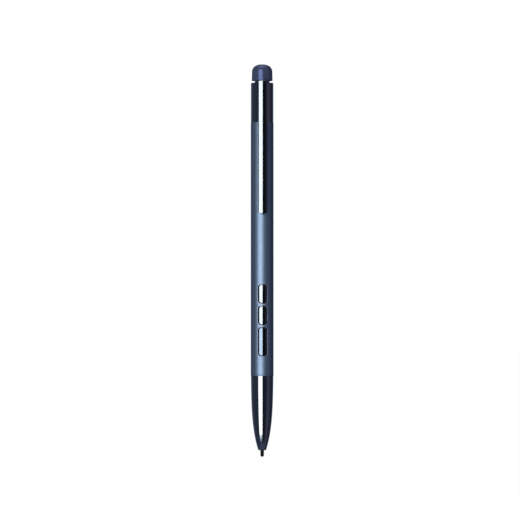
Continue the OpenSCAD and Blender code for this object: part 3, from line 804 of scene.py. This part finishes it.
def build_battery():
    """The cell, with its nub and the dish in its flat end, and the printed sleeve round it."""
    low, high = span("battery", 2)
    cell_r = radius_of("battery")
    nub_r, nub_h, nub_soft, soft = 1.6 * MM, 1.0 * MM, 0.2 * MM, 0.25 * MM
    dish_r, dish_slope, dish = 2.6 * MM, 0.3 * MM, 0.12 * MM
    profile = [(0, low), (nub_r - nub_soft, low), (nub_r, low + nub_soft), (nub_r, low + nub_h)]
    profile += arc(cell_r - soft, low + nub_h + soft, soft, -90, 0, 4)
    profile += arc(cell_r - soft, high - soft, soft, 0, 90, 4)
    profile += [(dish_r, high), (dish_r - dish_slope, high - dish), (0, high - dish)]
    piece = turned("cell", profile, "pen_body", MATERIALS["cell_can"], 128)
    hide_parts("battery")
    low, high = span("battery_sleeve", 2)
    outer_r, inner_r = radius_of("battery_sleeve"), cell_r + 0.01 * MM
    profile = [(inner_r, low), (outer_r, low), (outer_r, high), (inner_r, high)]
    piece = turned("cell_wrap", profile, "pen_body", MATERIALS["cell_sleeve"], 128)
    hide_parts("battery_sleeve")


def build_battery_spring():
    """The conical contact spring under the cap, with a flat end coil at each end."""
    low, high = span("battery_spring", 2)
    wire_r, turns, steps = 0.22 * MM, 4.5, 40
    top_r = radius_of("battery_spring") - wire_r
    bottom_r = 1.7 * MM
    count = int(turns * steps)
    rings = []
    for k in range(count + 1):
        t = k / count
        climb = min(max((t * turns - 0.6) / (turns - 1.2), 0), 1)
        z = low + wire_r + (high - low - 2 * wire_r) * climb
        r = bottom_r + (top_r - bottom_r) * climb
        a = TURN * t * turns
        outwards = Vector((math.cos(a), math.sin(a), 0))
        centre = outwards * r + Vector((0, 0, z))
        rings.append([centre + outwards * wire_r * math.cos(b) + Vector((0, 0, wire_r * math.sin(b)))
                      for b in (TURN * j / 12 for j in range(12))])
    bm = bmesh.new()
    add_loft(bm, rings)
    piece = finish_mesh("contact_coil", bm, "cap", MATERIALS["spring_steel"], 60)
    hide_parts("battery_spring")


# ---------------------------------------------------------------- carried-over CAD nodes

def dress_cad_nodes():
    """Every CAD node that stays gets its slot's material and, apart from the wound spring, a fine bevel."""
    slots = {s["node"]: s["material_slot"] for s in frame["record"]["subparts"]}
    for name, node in frame["nodes"].items():
        if node.hide_render:
            continue
        node.data.materials.clear()
        node.data.materials.append(MATERIALS[slots[name]])
        if name == "nib_spring":
            continue
        bevel = node.modifiers.new("soft_edges", "BEVEL")
        bevel.width = 0.03 * MM
        bevel.segments = 2
        bevel.limit_method = "ANGLE"
        bevel.angle_limit = math.radians(50)
        bevel.harden_normals = False


# ---------------------------------------------------------------- stage, light and camera

# Degrees about the pen's axis, 0 square to the clip. The studio turns with the camera.
VIEW_AZIMUTH = -1.8
STUDIO_NADIR = (0.01, 0.012, 0.02)
STUDIO_FLOOR = (0.26, 0.31, 0.55)
STUDIO_CEILING = (0.45, 0.5, 0.7)
STUDIO_ZENITH = (2.6, 2.3, 2.6)
# Brightness of the studio round the pen, by direction in degrees: 0 is where the camera stands, + is right
STUDIO_WALL = (
    (-180, (0.6, 0.66, 0.78)), (-166, (0.30, 0.34, 0.44)), (-150, (0.13, 0.16, 0.24)),
    (-132, (0.13, 0.16, 0.25)), (-106, (0.10, 0.125, 0.20)),
    (-50, (0.095, 0.13, 0.195)), (-5, (0.030, 0.036, 0.056)), (24, (0.030, 0.036, 0.056)),
    (35, (0.040, 0.047, 0.060)), (46, (0.106, 0.117, 0.165)), (57, (0.21, 0.22, 0.34)),
    (69, (0.25, 0.25, 0.41)), (83, (0.137, 0.148, 0.254)), (97, (0.096, 0.102, 0.18)),
    (115, (0.036, 0.044, 0.08)), (140, (0.05, 0.08, 0.12)), (158, (0.25, 0.34, 0.46)),
    (170, (0.50, 0.58, 0.70)), (180, (0.6, 0.66, 0.78)),
)
# The softbox: degrees from the camera, - is left; half its width in degrees; and its distance from the pen
SOFTBOX_TURN, SOFTBOX_HALF_ANGLE, SOFTBOX_AWAY = -18.4, 20.9, 0.9
# Its panels from the top down: lower and upper edge above the writing point, brightness, colour
SOFTBOX = (
    ("key_softbox", -0.384, 0.775, 9.0, (0.97, 1.0, 1.0)),
    ("softbox_hem", -0.441, -0.384, 4.4, (0.70, 0.82, 1.0)),
    ("softbox_edge", -0.50, -0.441, 1.5, (0.62, 0.74, 1.0)),
)


def panel(name, azimuth, distance, width, height, radiance, colour, target):
    """A flat softbox, level with target and facing it. radiance is the brightness of its face."""
    a = math.radians(azimuth)
    away = Vector((math.sin(a), -math.cos(a), 0))
    data = bpy.data.lights.new(name, "AREA")
    data.shape = "RECTANGLE"
    data.size, data.size_y = width, height
    data.energy = radiance * math.pi * width * height
    data.color = colour
    light = bpy.data.objects.new(name, data)
    light.location = target + away * distance
    light.rotation_mode = "QUATERNION"
    light.rotation_quaternion = away.to_track_quat("Z", "Y")
    light.visible_camera = False
    bpy.context.scene.collection.objects.link(light)


def build_world():
    """White to the camera; to the pen, a dark studio whose brightness changes with direction."""
    world = bpy.data.worlds.new("studio")
    bpy.context.scene.world = world
    world.use_nodes = True
    nodes, links = world.node_tree.nodes, world.node_tree.links
    nodes.clear()

    def math_node(operation, *inputs):
        node = nodes.new("ShaderNodeMath")
        node.operation = operation
        for socket, value in zip(node.inputs, inputs):
            if isinstance(value, (int, float)):
                socket.default_value = value
            else:
                links.new(value, socket)
        return node.outputs[0]

    def share(source, low, high):
        node = nodes.new("ShaderNodeMapRange")
        node.interpolation_type = "SMOOTHSTEP"
        node.inputs["From Min"].default_value = low
        node.inputs["From Max"].default_value = high
        links.new(source, node.inputs["Value"])
        return node.outputs["Result"]

    def blend(factor, below, above):
        node = nodes.new("ShaderNodeMix")
        node.data_type = "RGBA"
        links.new(factor, node.inputs["Factor"])
        for socket, value in ((node.inputs["A"], below), (node.inputs["B"], above)):
            if isinstance(value, tuple):
                socket.default_value = (*value, 1)
            else:
                links.new(value, socket)
        return node.outputs["Result"]

    coords = nodes.new("ShaderNodeTexCoord")
    split = nodes.new("ShaderNodeSeparateXYZ")
    links.new(coords.outputs["Generated"], split.inputs[0])
    azimuth = math_node("ARCTAN2", split.outputs["X"], math_node("MULTIPLY", split.outputs["Y"], -1.0))
    round_share = math_node("ADD", math_node("DIVIDE", azimuth, TURN), 0.5 - VIEW_AZIMUTH / 360)
    ramp = nodes.new("ShaderNodeValToRGB")
    elements = ramp.color_ramp.elements
    elements.remove(elements[1])
    elements[0].position = 0
    elements[0].color = (*STUDIO_WALL[0][1], 1)
    for degrees, colour in STUDIO_WALL[1:]:
        elements.new((degrees + 180) / 360).color = (*colour, 1)
    links.new(round_share, ramp.inputs["Fac"])
    # Heights of a direction run from -1, straight down, to 1, straight up
    floor = blend(share(split.outputs["Z"], -0.88, -0.76), STUDIO_NADIR, STUDIO_FLOOR)
    above_floor = blend(share(split.outputs["Z"], -0.56, -0.44), floor, ramp.outputs["Color"])
    ceiling = blend(share(split.outputs["Z"], 0.90, 0.97), STUDIO_CEILING, STUDIO_ZENITH)
    room = blend(share(split.outputs["Z"], 0.70, 0.86), above_floor, ceiling)
    studio = nodes.new("ShaderNodeBackground")
    links.new(room, studio.inputs["Color"])
    white = nodes.new("ShaderNodeBackground")
    white.inputs["Color"].default_value = (1, 1, 1, 1)
    path = nodes.new("ShaderNodeLightPath")
    mix = nodes.new("ShaderNodeMixShader")
    links.new(path.outputs["Is Camera Ray"], mix.inputs[0])
    links.new(studio.outputs[0], mix.inputs[1])
    links.new(white.outputs[0], mix.inputs[2])
    output = nodes.new("ShaderNodeOutputWorld")
    links.new(mix.outputs[0], output.inputs["Surface"])


def build_stage():
    """A pale floor just below the reach of the pulled-out nib. It stays out of the pen's reflections."""
    drop, half = 17.5 * MM, 2.0
    floor_z = NIB_Z0 - drop
    mesh = bpy.data.meshes.new("floor")
    mesh.from_pydata([(-half, -half, floor_z), (half, -half, floor_z), (half, half, floor_z),
                      (-half, half, floor_z)], [], [(0, 1, 2, 3)])
    floor = bpy.data.objects.new("floor", mesh)
    bpy.context.scene.collection.objects.link(floor)
    material = bpy.data.materials.new("pale_floor")
    material.use_nodes = True
    bsdf = material.node_tree.nodes["Principled BSDF"]
    bsdf.inputs["Base Color"].default_value = (0.01, 0.01, 0.01, 1)
    bsdf.inputs["Roughness"].default_value = 0.9
    bsdf.inputs["Specular IOR Level"].default_value = 0.0
    bsdf.inputs["Emission Color"].default_value = (1, 1, 1, 1)
    bsdf.inputs["Emission Strength"].default_value = 1.0
    mesh.materials.append(material)
    floor.visible_glossy = False
    floor.visible_diffuse = False
    floor.visible_shadow = False


def build_softbox():
    """One tall softbox at the front left, whose lower end fades in two steps."""
    width = 2 * SOFTBOX_AWAY * math.tan(math.radians(SOFTBOX_HALF_ANGLE))
    for name, low_z, high_z, radiance, tint in SOFTBOX:
        middle = Vector((0, 0, NIB_Z0 + (low_z + high_z) / 2))
        panel(name, VIEW_AZIMUTH + SOFTBOX_TURN, SOFTBOX_AWAY, width, high_z - low_z, radiance, tint, middle)


def build_camera():
    """A long lens at the pen's middle, level, a little to the left of the clip's plane."""
    distance, shown_width = 1.2, 216.4 * MM
    aim_right, aim_z = -0.9 * MM, 81.9 * MM
    data = bpy.data.cameras.new("camera")
    data.sensor_width = 36
    data.lens = data.sensor_width * distance / shown_width
    camera = bpy.data.objects.new("camera", data)
    a = math.radians(VIEW_AZIMUTH)
    right, forward = Vector((math.cos(a), math.sin(a), 0)), Vector((-math.sin(a), math.cos(a), 0))
    camera.location = aim_right * right - distance * forward + Vector((0, 0, aim_z))
    camera.rotation_euler = (math.radians(90), 0, a)
    bpy.context.scene.collection.objects.link(camera)
    bpy.context.scene.camera = camera


build_barrel()
for button in BUTTONS:
    build_side_button(button)
build_nose()
build_nib()
build_collar()
build_cap_core()
build_seal()
build_nut()
build_top_button()
build_clip()
build_battery()
build_battery_spring()
dress_cad_nodes()
build_world()
build_stage()
build_softbox()
build_camera()
bpy.context.scene.view_settings.view_transform = "Standard"
